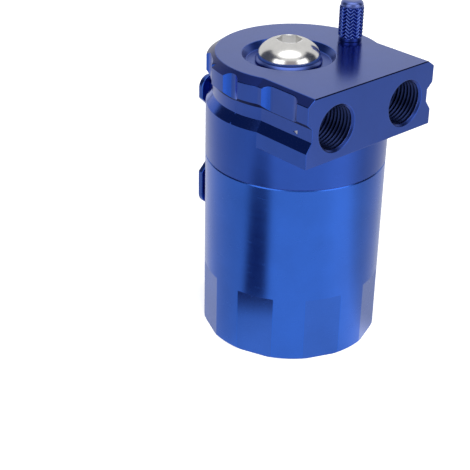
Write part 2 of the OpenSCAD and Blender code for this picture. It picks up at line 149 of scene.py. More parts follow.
# White behind the can, as light on it and as metal reflects it, and the floor's own glow
SKY_LIGHT = 0.45
SKY_GLOSS = 0.76
FLOOR_GLOW = 0.55

# Brightness of the floor by the direction from the can, in degrees to the right of the camera
FLOOR_LIGHT = [
    (-180, 0.8), (-128, 0.82), (-98, 0.74), (-66, 0.7), (-50, 0.78), (-30, 0.98),
    (30, 0.98), (48, 1.15), (62, 1.12), (74, 0.8), (84, 0.64), (102, 0.66), (140, 0.76), (180, 0.8),
]

# Cards that the metal reflects: name, degrees to the right of the camera, degrees up, brightness, tint
NAVY = (0.8, 0.9, 1.3)
SKY_CARDS = (
    ("dark_left", (-122, -60), (0, 52), 0.08, NAVY),
    ("dark_right", (72, 113), (-1, 52), 0.06, NAVY),
    ("window_left", (-58, -17), (0, 37), 1.9),
    ("window_right", (30, 70), (0, 39), 1.9),
    ("between_windows", (-17, 30), (-1, 35), 0.34, (1.04, 0.96, 1.05)),
    ("above_left", (-66, -34), (37, 47), 0.12, NAVY),
    ("above_right", (44, 74), (39, 48), 0.15, NAVY),
)
CARD_DISTANCE = 1.5
CARD_FADE = 4

# Heights of the floor's card and of the stripe over it
FLOOR_CARD_Z = 0.0003
STRIPE_Z = 0.0008

# Oval softbox over the plug: degrees to the right of the camera, degrees up, half angles, brightness
SOFTBOX = (5, 76, 28, 20, 2.0)
SOFTBOX_DISTANCE = 1.3

# Dark stripe on the floor that the cup reflects: its rows, as floor_patch takes them, brightness and tint
STRIPE_ROWS = (
    (0.024, 0.0, -36, -31, -19, -14),
    (0.036, 1.0, -36, -31, -19, -14),
    (0.060, 1.0, -35, -30, -19, -14),
    (0.130, 1.0, -34, -28.5, -19, -14.5),
    (0.150, 1.0, -31, -26, -19, -15),
    (0.180, 0.8, -28, -25, -19.5, -15.5),
    (0.205, 0.0, -28, -25, -19.5, -15.5),
)
STRIPE_LIGHT = (0.05, (0.3, 0.5, 2.0))

# Lamps: name, place, size, power
LAMPS = (
    ("key_lamp", (-0.5, -0.7, 1.3), 0.9, 14),
    ("fill_lamp", (0.9, -0.5, 0.9), 0.9, 6),
)


for leftover in list(bpy.data.objects):
    bpy.data.objects.remove(leftover)
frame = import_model()
scene = bpy.context.scene

# Sizes read from the frame
can_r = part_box("cup")[1].x
seam_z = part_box("cup")[1].z
head_lo, head_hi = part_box("head")
top_z = head_hi.z
face_y = head_lo.y
spigot_z = head_lo.z

# Places and sizes of the ports, and of the thread between cup and head, that the frame doesn't give
port_z = top_z - 12.75 * MM
port_x = 16.75 * MM
port_r = 7.6 * MM
port_mouth_r = 8.4 * MM
port_depth = 13 * MM
port_end_y = -8 * MM
spigot_r = can_r - 3.58 * MM
bore_r = can_r - 3.5 * MM


# Node trees


def add(tree, kind, **settings):
    """A new shader node with its settings and the values of its sockets, which are given by name."""
    node = tree.nodes.new(kind)
    for key, value in settings.items():
        if key == "values":
            for socket, number in value.items():
                node.inputs[socket].default_value = number
        else:
            setattr(node, key, value)
    return node


def new_material(name):
    """An empty material with its Principled shader, as (material, node tree, shader)."""
    material = bpy.data.materials.new(name)
    material.use_nodes = True
    tree = material.node_tree
    tree.nodes.clear()
    shader = add(tree, "ShaderNodeBsdfPrincipled")
    output = add(tree, "ShaderNodeOutputMaterial")
    tree.links.new(shader.outputs["BSDF"], output.inputs["Surface"])
    return material, tree, shader


def noise(tree, scale, stretch=(1, 1, 1), detail=3.0, rough=0.55):
    """Noise over the object's own coordinates, stretched along each axis: scale is in waves a metre."""
    coordinates = add(tree, "ShaderNodeTexCoord")
    mapping = add(tree, "ShaderNodeMapping", values={"Scale": [scale * s for s in stretch]})
    texture = add(tree, "ShaderNodeTexNoise", values={"Scale": 1.0, "Detail": detail, "Roughness": rough})
    tree.links.new(coordinates.outputs["Object"], mapping.inputs["Vector"])
    tree.links.new(mapping.outputs["Vector"], texture.inputs["Vector"])
    return texture.outputs["Fac"]


def spread(tree, source, low, high, start=0.3, end=0.7):
    """A grey value brought from start..end to low..high."""
    ranged = add(tree, "ShaderNodeMapRange")
    for socket, number in (("From Min", start), ("From Max", end), ("To Min", low), ("To Max", high)):
        ranged.inputs[socket].default_value = number
    tree.links.new(source, ranged.inputs["Value"])
    return ranged.outputs["Result"]


def blend_colours(tree, source, dark, light):
    """A colour between two, by a grey value."""
    mix = add(tree, "ShaderNodeMix", data_type="RGBA")
    mix.inputs["A"].default_value = (*dark, 1)
    mix.inputs["B"].default_value = (*light, 1)
    tree.links.new(source, mix.inputs["Factor"])
    return mix.outputs["Result"]


def bump(tree, shader, sources):
    """Chains bumps into the shader's normal: each source is (grey value, height in metres, strength)."""
    before = None
    for source, height, strength in sources:
        node = add(tree, "ShaderNodeBump", values={"Distance": height, "Strength": strength})
        tree.links.new(source, node.inputs["Height"])
        if before is not None:
            tree.links.new(before.outputs["Normal"], node.inputs["Normal"])
        before = node
    tree.links.new(before.outputs["Normal"], shader.inputs["Normal"])


def shade(colour, factor):
    """A colour made lighter or darker."""
    return tuple(min(1.0, c * factor) for c in colour)


def anodised(name, colour, roughness, grain, turned=False, coat=0.0, bright=1.0, coat_rough=0.3):
    """Anodised aluminium. Turned pieces have fine rings round Z, the others an even blasted grain. A
    brightness factor above 1 makes a lighter copy, a painted highlight, and below 1 a darker one, painted
    shade.
    """
    material, tree, shader = new_material(name)
    stretch = (0.01, 0.01, 1) if turned else (1, 1, 1)
    fine = noise(tree, 5200, stretch, detail=2.0)
    patches = noise(tree, 70, detail=4.0)
    marks = noise(tree, 900, (0.12, 0.12, 1) if turned else (1, 1, 1), detail=5.0, rough=0.7)
    tone = spread(tree, patches, 0.0, 1.0)
    tree.links.new(
        blend_colours(tree, tone, shade(colour, 0.93 * bright), shade(colour, 1.05 * bright)),
        shader.inputs["Base Color"],
    )
    tree.links.new(spread(tree, marks, roughness - 0.03, roughness + 0.03), shader.inputs["Roughness"])
    bump(tree, shader, [(fine, 0.00002, grain), (patches, 0.0003, 0.02)])
    shader.inputs["Metallic"].default_value = 1.0
    shader.inputs["Coat Weight"].default_value = coat
    shader.inputs["Coat Roughness"].default_value = coat_rough
    shader.inputs["Coat IOR"].default_value = 1.55
    if turned:
        tangent = add(tree, "ShaderNodeTangent", direction_type="RADIAL", axis="Z")
        tree.links.new(tangent.outputs["Tangent"], shader.inputs["Tangent"])
        shader.inputs["Anisotropic"].default_value = 0.45
        shader.inputs["Anisotropic Rotation"].default_value = 0.25
    return material


def metal(name, colour, roughness, grain, metallic=1.0):
    """Bare metal with a fine grain, faint stains and small changes of gloss."""
    material, tree, shader = new_material(name)
    fine = noise(tree, 2600, detail=3.0)
    patches = noise(tree, 160, detail=5.0, rough=0.65)
    tone = spread(tree, patches, 0.0, 1.0)
    tree.links.new(blend_colours(tree, tone, shade(colour, 0.9), colour), shader.inputs["Base Color"])
    tree.links.new(spread(tree, fine, 0.8 * roughness, 1.25 * roughness), shader.inputs["Roughness"])
    bump(tree, shader, [(fine, 0.00001, grain)])
    shader.inputs["Metallic"].default_value = metallic
    return material


def undercut(name, colour):
    """Anodised surfaces that face down, painted a very dark, matt deep blue: painted shade."""
    material, tree, shader = new_material(name)
    fine = noise(tree, 2400, detail=3.0)
    tone = spread(tree, fine, 0.0, 1.0)
    blue = blend_colours(tree, tone, shade(colour, 0.8), shade(colour, 1.2))
    tree.links.new(blue, shader.inputs["Base Color"])
    tree.links.new(spread(tree, fine, 0.4, 0.5), shader.inputs["Roughness"])
    bump(tree, shader, [(fine, 0.00002, 0.1)])
    shader.inputs["Specular IOR Level"].default_value = 0.15
    return material


def rubber(name):
    """Black nitrile rubber, a little dusty."""
    material, tree, shader = new_material(name)
    dust = noise(tree, 1400, detail=6.0, rough=0.7)
    tone = spread(tree, dust, 0.0, 1.0)
    black = blend_colours(tree, tone, (0.008, 0.008, 0.009), (0.03, 0.03, 0.032))
    tree.links.new(black, shader.inputs["Base Color"])
    tree.links.new(spread(tree, dust, 0.42, 0.62), shader.inputs["Roughness"])
    bump(tree, shader, [(dust, 0.00003, 0.25)])
    return material


def knurled(name, valley_shade, crest_highlight):
    """Knurled anodised aluminium: painted shade deep in the knurl and a painted highlight on its ridges,
    broken up by a wear noise.
    """
    material, tree, shader = new_material(name)
    height = add(tree, "ShaderNodeAttribute", attribute_name="knurl")
    fine = noise(tree, 5200, detail=2.0)
    wear = noise(tree, 420, detail=4.0)
    highlight_and_wear = add(tree, "ShaderNodeMath", operation="MULTIPLY")
    tree.links.new(spread(tree, height.outputs["Fac"], 0.0, 1.0, 0.35, 1.0), highlight_and_wear.inputs[0])
    tree.links.new(spread(tree, wear, 0.7, 1.0), highlight_and_wear.inputs[1])
    tree.links.new(blend_colours(tree, highlight_and_wear.outputs[0], valley_shade, crest_highlight), shader.inputs["Base Color"])
    tree.links.new(spread(tree, wear, 0.24, 0.34), shader.inputs["Roughness"])
    bump(tree, shader, [(fine, 0.00002, 0.1)])
    shader.inputs["Metallic"].default_value = 1.0
    shader.inputs["Coat Weight"].default_value = 0.15
    return material


HEAD_BLUE = (0.021, 0.074, 0.39)
CUP_BLUE = (0.024, 0.118, 0.57)
materials = {
    "cup": anodised("cup_anodised", CUP_BLUE, 0.25, 0.05, turned=True, coat=0.26),
    # A lighter copy of the cup's blue for its softened edges: a painted highlight.
    "cup_edge_highlight": anodised("cup_edge_highlight", CUP_BLUE, 0.2, 0.03, bright=1.1),
    # A darker copy of the cup's blue with a finer milled grain for the wrench flats: painted shade.
    "cup_flat_shade": anodised("cup_flat_shade", CUP_BLUE, 0.25, 0.008, coat=0.35, bright=0.9),
    "head": anodised("head_anodised", HEAD_BLUE, 0.32, 0.18, coat=0.43),
    "head_top": anodised("head_top", HEAD_BLUE, 0.2, 0.12, coat=0.43, coat_rough=0.18),
    # A lighter copy of the head's blue for its softened edges: a painted highlight.
    "head_edge_highlight": anodised("head_edge_highlight", HEAD_BLUE, 0.26, 0.06, coat=0.3, bright=1.15),
    "head_turned": anodised("head_turned", (0.021, 0.082, 0.43), 0.3, 0.05, turned=True, coat=0.25),
    # A lighter, glossier copy of the head's blue for the upward shoulder: a painted highlight.
    "shoulder": anodised("head_shoulder", HEAD_BLUE, 0.13, 0.03, coat=0.12, bright=1.35),
    # A darker copy of the head's blue for the chamfers: painted shade.
    "chamfer": anodised("head_chamfer_shade", (0.008, 0.022, 0.15), 0.24, 0.05, coat=0.1),
    # A brighter copy of the head's blue for the fillets of scallops and flutes: a painted highlight.
    "flute": anodised("head_flute_highlight", (0.024, 0.105, 0.58), 0.24, 0.05, coat=0.12),
    # A darker copy of the head's blue for the mouths of the ports: painted shade.
    "countersink": anodised("port_countersink", (0.014, 0.046, 0.26), 0.26, 0.05, coat=0.3),
    "undercut": undercut("head_undercut", (0.003, 0.006, 0.045)),
    # Inside the ports: a darker copy of the blue, painted shade, and a lighter one on the thread crests,
    # a painted highlight.
    "bore": anodised("bore_anodised", (0.012, 0.024, 0.1), 0.34, 0.08, coat=0.15),
    "crest_highlight": anodised("thread_crest", (0.09, 0.115, 0.3), 0.3, 0.05, coat=0.2),
    "knob": knurled("knob_anodised", (0.008, 0.03, 0.24), (0.17, 0.27, 0.78)),
    # A lighter copy of the knob's blue for its top: a painted highlight.
    "knob_cap_highlight": anodised("knob_cap_highlight", (0.1, 0.15, 0.46), 0.34, 0.05, coat=0.6),
    # A darker copy of the knob's blue for its collar: painted shade.
    "knob_collar": anodised("knob_collar", (0.02, 0.055, 0.3), 0.34, 0.05, coat=0.4),
    "washer": anodised("washer_anodised", (0.06, 0.11, 0.42), 0.32, 0.05, coat=0.55),
    "bracket": anodised("bracket_anodised", (0.018, 0.075, 0.40), 0.3, 0.16, coat=0.45),
    # A lighter copy of the bracket's blue for its softened edges: a painted highlight.
    "bracket_edge_highlight": anodised("bracket_edge_highlight", (0.02, 0.095, 0.48), 0.26, 0.08, coat=0.4),
    "engraved": metal("engraved_mark", (0.62, 0.64, 0.72), 0.5, 0.5),
    "polished": metal("polished_steel_finish", (0.80, 0.79, 0.77), 0.19, 0.02),
    # A lighter, partly matt copy of the plug's steel for its hex socket: painted light.
    "socket": metal("socket_steel_painted_light", (0.88, 0.88, 0.88), 0.35, 0.05, metallic=0.72),
    "steel": metal("zinc_steel", (0.62, 0.62, 0.60), 0.28, 0.25),
    "aluminium": metal("bare_aluminium", (0.76, 0.77, 0.78), 0.33, 0.3),
    "wire": metal("knitted_wire", (0.66, 0.65, 0.62), 0.3, 0.2),
    "copper": metal("copper_washer", (0.85, 0.42, 0.26), 0.32, 0.3),
    "rubber": rubber("black_rubber"),
}


# Meshes


def to_object(name, bm, *finishes):
    """A new object from a bmesh, with its finishes."""
    mesh = bpy.data.meshes.new(name)
    bm.to_mesh(mesh)
    bm.free()
    piece = bpy.data.objects.new(name, mesh)
    scene.collection.objects.link(piece)
    for finish in finishes:
        mesh.materials.append(materials[finish])
    return piece


def place(piece, body, slot, *nodes):
    """Puts a piece on its body and hides the nodes that it stands for. The slot is not used."""
    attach(piece, body)
    if nodes:
        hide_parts(*nodes)
    return piece


def bake_modifiers(piece):
    """Turns a piece's modifiers into its mesh."""
    graph = bpy.context.evaluated_depsgraph_get()
    mesh = bpy.data.meshes.new_from_object(piece.evaluated_get(graph))
    piece.modifiers.clear()
    piece.data = mesh


def cut(piece, tools):
    """Cuts the tools out of a piece and removes them."""
    for tool in tools:
        difference = piece.modifiers.new("cut", "BOOLEAN")
        difference.operation = "DIFFERENCE"
        difference.solver = "EXACT"
        difference.object = tool
    bake_modifiers(piece)
    for tool in tools:
        bpy.data.objects.remove(tool)


def even_normals(piece):
    """Keeps flat faces flat beside softened edges."""
    weighted = piece.modifiers.new("even_normals", "WEIGHTED_NORMAL")
    weighted.keep_sharp = True
    weighted.weight = 60
    bake_modifiers(piece)


def cad_copy(node, name, *finishes, soft=None, width=EDGE_WIDTH):
    """A copy of a CAD node's shape. Sharp edges are softened where soft(middle of the edge) is true."""
    source = frame["nodes"][node].data
    normals = source.attributes.new("cad_normal", "FLOAT_VECTOR", "CORNER")
    normals.data.foreach_set("vector", np.array([n.vector for n in source.corner_normals]).ravel())
    bm = bmesh.new()
    bm.from_mesh(source)
    source.attributes.remove(source.attributes["cad_normal"])
    bmesh.ops.remove_doubles(bm, verts=bm.verts, dist=1e-6)
    layer = bm.loops.layers.float_vector["cad_normal"]
    weight = bm.edges.layers.float.new("bevel_weight_edge")
    for face in bm.faces:
        face.smooth = True
        face.material_index = 0
    for edge in bm.edges:
        crease = is_crease(edge, layer)
        softened = crease and soft is not None and soft((edge.verts[0].co + edge.verts[1].co) / 2)
        edge.smooth = not crease
        edge[weight] = 1.0 if softened else 0.0
    bm.loops.layers.float_vector.remove(layer)
    flat_angle = math.radians(0.05)
    flat = [e for e in bm.edges if e.smooth and e.is_manifold and e.calc_face_angle(0) < flat_angle]
    bmesh.ops.dissolve_edges(bm, edges=flat, use_verts=False)
    piece = to_object(name, bm, *finishes)
    if soft is not None:
        bevel = piece.modifiers.new("soft_edges", "BEVEL")
        bevel.limit_method = "WEIGHT"
        bevel.width = width
        bevel.segments = 2
        bevel.use_clamp_overlap = False
        # Bevelled faces take the second finish; for cup, head and bracket that is a lighter copy, a
        # painted highlight.
        bevel.material = min(1, len(finishes) - 1)
        bake_modifiers(piece)
    return piece


def is_crease(edge, layer, limit=math.radians(6)):
    """True where the CAD surfaces on both sides of an edge meet at an angle."""
    if len(edge.link_loops) != 2:
        return False
    sides = []
    for loop in edge.link_loops:
        at_ends = {loop.vert: loop[layer], loop.link_loop_next.vert: loop.link_loop_next[layer]}
        sides.append(at_ends)
    for vert in edge.verts:
        if sides[0][vert].angle(sides[1][vert], 0.0) > limit:
            return True
    return False


def bridge(bm, rings, count):
    """Faces between rows of points, count of them in each row. A row may be a single point."""
    for low, high in zip(rings, rings[1:]):
        for k in range(count):
            corners = []
            for ring, column in ((low, k), (low, k + 1), (high, k + 1), (high, k)):
                vert = ring[column % len(ring)]
                if vert not in corners:
                    corners.append(vert)
            if len(corners) > 2:
                bm.faces.new(corners)


def circle(bm, radius, z, count):
    """New points of a circle round Z."""
    angles = [2 * math.pi * k / count for k in range(count)]
    return [bm.verts.new((radius * math.cos(a), radius * math.sin(a), z)) for a in angles]


def close_ends(bm, rings):
    """Caps on both ends of a bridged tube."""
    bm.faces.new(rings[0][::-1])
    bm.faces.new(rings[-1])
    bmesh.ops.recalc_face_normals(bm, faces=bm.faces)


def coil(radius, thread, start, length, inside, steps):
    """Closed coil of V section round Z that cuts a thread: inside for a hole's, else a rod's.
    It deepens over its first half turn."""
    pitch, depth = thread
    out = 1 if inside else -1
    mouth_r = radius - out * 0.12 * MM
    bm = bmesh.new()
    rings = []
    for i in range(int(length / pitch * steps) + 1):
        angle = 2 * math.pi * i / steps
        z = start + pitch * i / steps
        grown = min(1.0, 2 * i / steps)
        floor_r = radius + out * (depth * grown - 0.05 * MM * (1 - grown))
        ring = []
        for r, share in ((mouth_r, -0.46), (mouth_r, 0.46), (floor_r, 0.08), (floor_r, -0.08)):
            ring.append(bm.verts.new((r * math.cos(angle), r * math.sin(angle), z + share * pitch)))
        rings.append(ring)
    bridge(bm, rings, 4)
    close_ends(bm, rings)
    return to_object("coil", bm)


def lathe(profile, segments=96):
    """Closed solid of revolution round Z. The profile starts and ends on the axis, or is a loop."""
    bm = bmesh.new()
    rings = []
    for r, z in profile:
        rings.append([bm.verts.new((0, 0, z))] if r < 1e-9 else circle(bm, r, z, segments))
    bridge(bm, rings, segments)
    bmesh.ops.recalc_face_normals(bm, faces=bm.faces)
    return bm


def smooth_by_angle(bm, degrees):
    """Smooth shading, with sharp edges where faces meet at more than an angle."""
    for face in bm.faces:
        face.smooth = True
    for edge in bm.edges:
        edge.smooth = edge.calc_face_angle(0) < math.radians(degrees)


def arc(centre, radius, start, end, steps):
    """Points of an arc in a profile, angles in degrees."""
    angles = [math.radians(start + (end - start) * k / steps) for k in range(steps + 1)]
    return [(centre[0] + radius * math.cos(a), centre[1] + radius * math.sin(a)) for a in angles]


# Pieces


def steepen_lip(piece):
    """Makes the small chamfer at the seam steep, so that it shows as a fine line."""
    for vert in piece.data.vertices:
        r = math.hypot(vert.co.x, vert.co.y)
        if abs(vert.co.z - seam_z) < 0.02 * MM and abs(r - (can_r - LIP_IN)) < 0.05 * MM:
            grow = (can_r - STEEP_LIP_IN) / r
            vert.co.x *= grow
            vert.co.y *= grow


def make_cup():
    def soft(p):
        return math.hypot(p.x, p.y) > INSIDE_R and p.z < SOFT_FOOT_TOP

    piece = cad_copy("cup", "cup_body", "cup", "cup_edge_highlight", soft=soft, width=FINE_EDGE_WIDTH)
    thread = coil(bore_r, SPIGOT_THREAD, spigot_z + 0.6 * MM, SPIGOT_RUN, inside=True, steps=96)
    cut(piece, [thread])
    steepen_lip(piece)
    piece.data.materials.append(materials["cup_flat_shade"])
    # The wrench flats at the foot take the darker copy: painted shade.
    for polygon in piece.data.polygons:
        middle = polygon.center
        r = math.hypot(middle.x, middle.y)
        outward = (polygon.normal.x * middle.x + polygon.normal.y * middle.y) / r if r > 0 else 0
        if middle.z < FLATS_TOP and 28 * MM < r < can_r - 0.12 * MM and outward > 0.85:
            polygon.material_index = 2
    even_normals(piece)
    place(piece, "cup", "cup_blue", "cup")


HEAD_FINISHES = ("head", "head_edge_highlight", "engraved", "bore", "crest_highlight", "head_turned", "shoulder", "chamfer",
                 "undercut", "flute", "head_top", "countersink")


def within(value, band):
    return band[0] < value < band[1]


def head_finish(polygon):
    """Name of the finish of one of the head's faces, or None where it keeps its own. Many finishes are
    lighter or darker copies of the blue: painted highlights and painted shade.
    """
    middle, normal = polygon.center, polygon.normal
    in_mark = abs(middle.y - MARK[0]) < MARK_HALF and abs(middle.z - MARK[1]) < MARK_HALF
    if in_mark and within(middle.x, MARK_FLOOR) and abs(normal.x) > 0.9:
        return "engraved"
    from_port = math.hypot(abs(middle.x) - port_x, middle.z - port_z)
    # Faces inside the ports get painted shade, and their thread crests a painted highlight.
    if from_port < port_mouth_r and face_y + 0.75 * MM < middle.y < port_end_y:
        on_crest = from_port < port_r + 0.02 * MM and middle.y < face_y + port_depth
        return "crest_highlight" if on_crest else "bore"
    # The chamfer along the top of the port face gets painted shade.
    if middle.y < face_y + FACE_EDGE and middle.z > top_z - FACE_EDGE and -0.98 < normal.y < -0.2:
        return "chamfer"
    if middle.z > top_z - NEAR and normal.z > 0.99:
        return "head_top"
    if middle.y < face_y + MM:
        # The mouths of the ports get painted shade.
        in_mouth = from_port < port_mouth_r + 0.6 * MM and middle.y > face_y + 2 * NEAR
        return "countersink" if in_mouth else None
    from_middle = math.hypot(middle.x, middle.y)
    if from_middle < INSIDE_R or math.hypot(normal.x, normal.y) < 0.3:
        return None
    # The upward-facing shoulder gets a painted highlight.
    if within(middle.z, SHOULDER_BAND) and normal.z > 0.3:
        return "shoulder"
    # Surfaces under the rim that face down get painted shade.
    if within(middle.z, UNDERCUT_BAND) and normal.z < -0.2:
        return "undercut"
    upright = abs(normal.z) < 0.1
    # Fillets of the scallops and the flutes in the rim get a painted highlight.
    if within(middle.z, RIM_BAND) and upright and abs(middle.x) > 20 * MM:
        across = abs(normal.y * middle.x - normal.x * middle.y) / from_middle
        in_fillet = within(middle.y, FRONT_FILLETS) and abs(normal.x) < 0.97
        if in_fillet or (middle.y > -5 * MM and across > 0.2):
            return "flute"
    # The chamfer round the top of the head gets painted shade.
    if middle.z > CHAMFER_FOOT and 0.3 < normal.z < 0.9:
        return "chamfer"
    if middle.z < TURNED_TOP and upright and from_middle > can_r - 0.2 * MM:
        return "head_turned"
    return None


def sector(profile, start, end, steps=24):
    """Closed solid of a closed profile of (r, z), turned round Z between two angles in degrees."""
    bm = bmesh.new()
    rings = []
    for k in range(steps + 1):
        a = math.radians(start + (end - start) * k / steps)
        rings.append([bm.verts.new((r * math.cos(a), r * math.sin(a), z)) for r, z in profile])
    bridge(bm, rings, len(profile))
    close_ends(bm, rings)
    return bm


def join(piece, tools):
    """Joins the tools to a piece and removes them."""
    for tool in tools:
        union = piece.modifiers.new("join", "BOOLEAN")
        union.operation = "UNION"
        union.solver = "EXACT"
        union.object = tool
    bake_modifiers(piece)
    for tool in tools:
        bpy.data.objects.remove(tool)


def round_cutter(radius, x, y, turn):
    """Upright round cutter for the rim, moved to (x, y) and then turned about Z by degrees."""
    bm = lathe([(0, 0), (radius, 0), (radius, CUTTER_HEIGHT), (0, CUTTER_HEIGHT)], 128)
    bm.transform(Matrix.Rotation(math.radians(turn), 4, "Z") @ Matrix.Translation((x, y, RIM_FOOT)))
    return to_object("cutter", bm)


def box_cutter(size, matrix):
    """Box of a size round the origin, put in its place by a matrix."""
    bm = bmesh.new()
    bmesh.ops.create_cube(bm, size=1)
    bm.transform(matrix @ Matrix.Diagonal((*size, 1)))
    return to_object("cutter", bm)


def move_scallops(piece):
    """Moves the head's round scallops back round the rim and cuts the flute in front of each."""
    high = top_z - NEAR
    land = [
        (28.6 * MM, RIM_FOOT),
        (30.12 * MM, RIM_FOOT),
        (32.48 * MM, 98.4 * MM),
        (32.48 * MM, 104.4 * MM),
        (29.38 * MM, high),
        (28.6 * MM, high),
    ]
    join(piece, [to_object("land", sector(land, start, end)) for start, end in FILLED_SECTORS])
    tools = []
    end_x = SCALLOP_FLOOR + SCALLOP_END_R
    middle_z = RIM_FOOT + CUTTER_HEIGHT / 2
    between_ends = (2 * SCALLOP_END_R, 2 * SCALLOP_RUN, CUTTER_HEIGHT)
    for turn in SCALLOP_TURNS:
        for side in (-1, 1):
            tools.append(round_cutter(SCALLOP_END_R, end_x, side * SCALLOP_RUN, turn))
        on_rim = Matrix.Rotation(math.radians(turn), 4, "Z") @ Matrix.Translation((end_x, 0, middle_z))
        tools.append(box_cutter(between_ends, on_rim))
    for turn in FLUTE_TURNS:
        tools.append(round_cutter(SCALLOP_END_R, end_x, 0, turn))
    cut(piece, tools)


def make_head():
    def soft(p):
        inside = math.hypot(p.x, p.y) < spigot_r + 0.5 * MM and p.z < seam_z + 12 * MM
        in_port = abs(p.z - port_z) < 8.3 * MM and face_y + 1.2 * MM < p.y < 0
        on_face_edge = p.y < face_y + NEAR and p.z > top_z - NEAR
        return not inside and not in_port and not on_face_edge and p.z > seam_z + 1 * MM

    piece = cad_copy("head", "head_body", "head", "head_edge_highlight", soft=soft)
    move_scallops(piece)
    steepen_lip(piece)
    tools = [coil(spigot_r, SPIGOT_THREAD, spigot_z + 0.9 * MM, SPIGOT_RUN, inside=False, steps=96)]
    for side in (-1, 1):
        tap = coil(port_r, PORT_THREAD, 1.4 * MM, port_depth - 1.0 * MM, inside=True, steps=48)
        tap.data.transform(Matrix.Rotation(math.pi, 4, "Z"))
        tap.data.transform(Matrix.Rotation(math.radians(-90), 4, "X"))
        tap.data.transform(Matrix.Translation((side * port_x, face_y - 0.4 * MM, port_z)))
        tools.append(tap)
    thick = FACE_EDGE * math.sqrt(2)
    on_edge = Matrix.Translation((0, face_y, top_z)) @ Matrix.Rotation(math.radians(45), 4, "X")
    tools.append(box_cutter((60 * MM, thick, thick), on_edge))
    cut(piece, tools)
    for finish in HEAD_FINISHES[2:]:
        piece.data.materials.append(materials[finish])
    for polygon in piece.data.polygons:
        finish = head_finish(polygon)
        if finish is not None:
            polygon.material_index = HEAD_FINISHES.index(finish)
    even_normals(piece)
    place(piece, "head", "head_blue", "head")


def plug_head(top, radius, foot):
    """Domed head of the breather plug, round Z. Its hex socket takes a lighter, partly matt copy of the
    steel, a painted highlight, and every other wall keeps the polished steel as painted shade.
    """
    lip = 0.3 * MM
    rise = top - foot - lip
    quarter = [math.radians(90 * k / 48) for k in range(48)]
    dome = [(radius * math.cos(a), foot + lip + rise * math.sin(a)) for a in quarter]
    bm = lathe([(0, foot), (radius - lip, foot)] + dome + [(0, top)], 160)
    smooth_by_angle(bm, 30)
    piece = to_object("breather_plug", bm, "polished", "socket")
    corner_r = HEX_ACROSS / math.sqrt(3)
    floor = top - HEX_DEPTH
    over = top + 0.6 * MM
    socket = lathe([(0, floor), (corner_r, floor), (corner_r, top + MM), (0, top + MM)], 6)
    socket.transform(Matrix.Rotation(math.radians(HEX_TURN), 4, "Z"))
    mouth = lathe([(0, top - 0.75 * MM - corner_r * 0.6), (corner_r + 1.2 * MM, over), (0, over)])
    drill = lathe([(0, floor - 1.6 * MM), (DRILL_R, floor + NEAR), (0, floor + 2 * NEAR)], 48)
    cut(piece, [to_object("socket", socket), to_object("mouth", mouth), to_object("drill", drill)])
    for polygon in piece.data.polygons:
        middle = polygon.center
        in_socket = math.hypot(middle.x, middle.y) < corner_r + 0.02 * MM
        wall = round((math.degrees(math.atan2(middle.y, middle.x)) - HEX_TURN - 30) / 60)
        # Every other wall keeps the polished steel, painted shade against the lighter socket.
        darker = abs(polygon.normal.z) < 0.1 and wall % 2 == 1
        if in_socket and not darker and floor - 2 * MM < middle.z < top - 0.4 * MM:
            polygon.material_index = 1
    return piece


def make_plug():
    lo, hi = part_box("breather_plug_bolt")
    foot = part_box("breather_plug_washer")[1].z
    rod_top = foot + 0.3 * MM
    piece = plug_head(hi.z, (hi.x - lo.x) / 2, foot)
    shank = [(0, lo.z), (5.0 * MM, lo.z), (PLUG_R, lo.z + 0.9 * MM), (PLUG_R, rod_top), (0, rod_top)]
    rod = to_object("shank", lathe(shank))
    cut(rod, [coil(PLUG_R, PLUG_THREAD, lo.z, 8 * MM, inside=False, steps=48)])
    bm = bmesh.new()
    bm.from_mesh(piece.data)
    bm.from_mesh(rod.data)
    bpy.data.objects.remove(rod)
    smooth_by_angle(bm, 30)
    for edge in bm.edges:
        middle_z = (edge.verts[0].co.z + edge.verts[1].co.z) / 2
        edge.smooth = edge.smooth and middle_z > foot
    bm.to_mesh(piece.data)
    bm.free()
    middle = (lo + hi) / 2
    piece.data.transform(Matrix.Translation((middle.x, middle.y, 0)))
    place(piece, "plug_bolt", "polished_steel", "breather_plug_bolt")


def make_plug_washer():
    """Ring under the plug's head, bevelled towards the dome and at its foot."""
    lo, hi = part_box("breather_plug_washer")
    middle = (lo + hi) / 2
    hole_r, outer_r = 5.98 * MM, (hi.x - lo.x) / 2
    under = min(0.45 * MM, hi.z - lo.z - 0.85 * MM)
    ring = [
        (hole_r, lo.z),
        (outer_r - under, lo.z),
        (outer_r, lo.z + under),
        (outer_r, hi.z - 0.8 * MM),
        (outer_r - 0.1 * MM, hi.z - 0.65 * MM),
        (outer_r - 0.65 * MM, hi.z - 0.1 * MM),
        (outer_r - 0.8 * MM, hi.z),
        (hole_r, hi.z),
        (hole_r, lo.z),
    ]
    bm = lathe(ring, 128)
    bmesh.ops.remove_doubles(bm, verts=bm.verts, dist=1e-7)
    bmesh.ops.recalc_face_normals(bm, faces=bm.faces)
    smooth_by_angle(bm, 30)
    bm.transform(Matrix.Translation((middle.x, middle.y, 0)))
    place(to_object("plug_washer_ring", bm, "washer"), "plug_washer", "head_blue", "breather_plug_washer")


def knurl_height(turn, rise):
    """Height from 0 to 1 of herringbone ridges at a share of a turn and at a number of rows up."""
    wave = abs(2 * ((turn * KNURL_COUNT) % 1.0) - 1)
    ridge = 1 - abs(2 * ((rise + KNURL_SLANT * wave) % 1.0) - 1)
    return min(1.0, max(0.0, (ridge - 0.12) / 0.76))


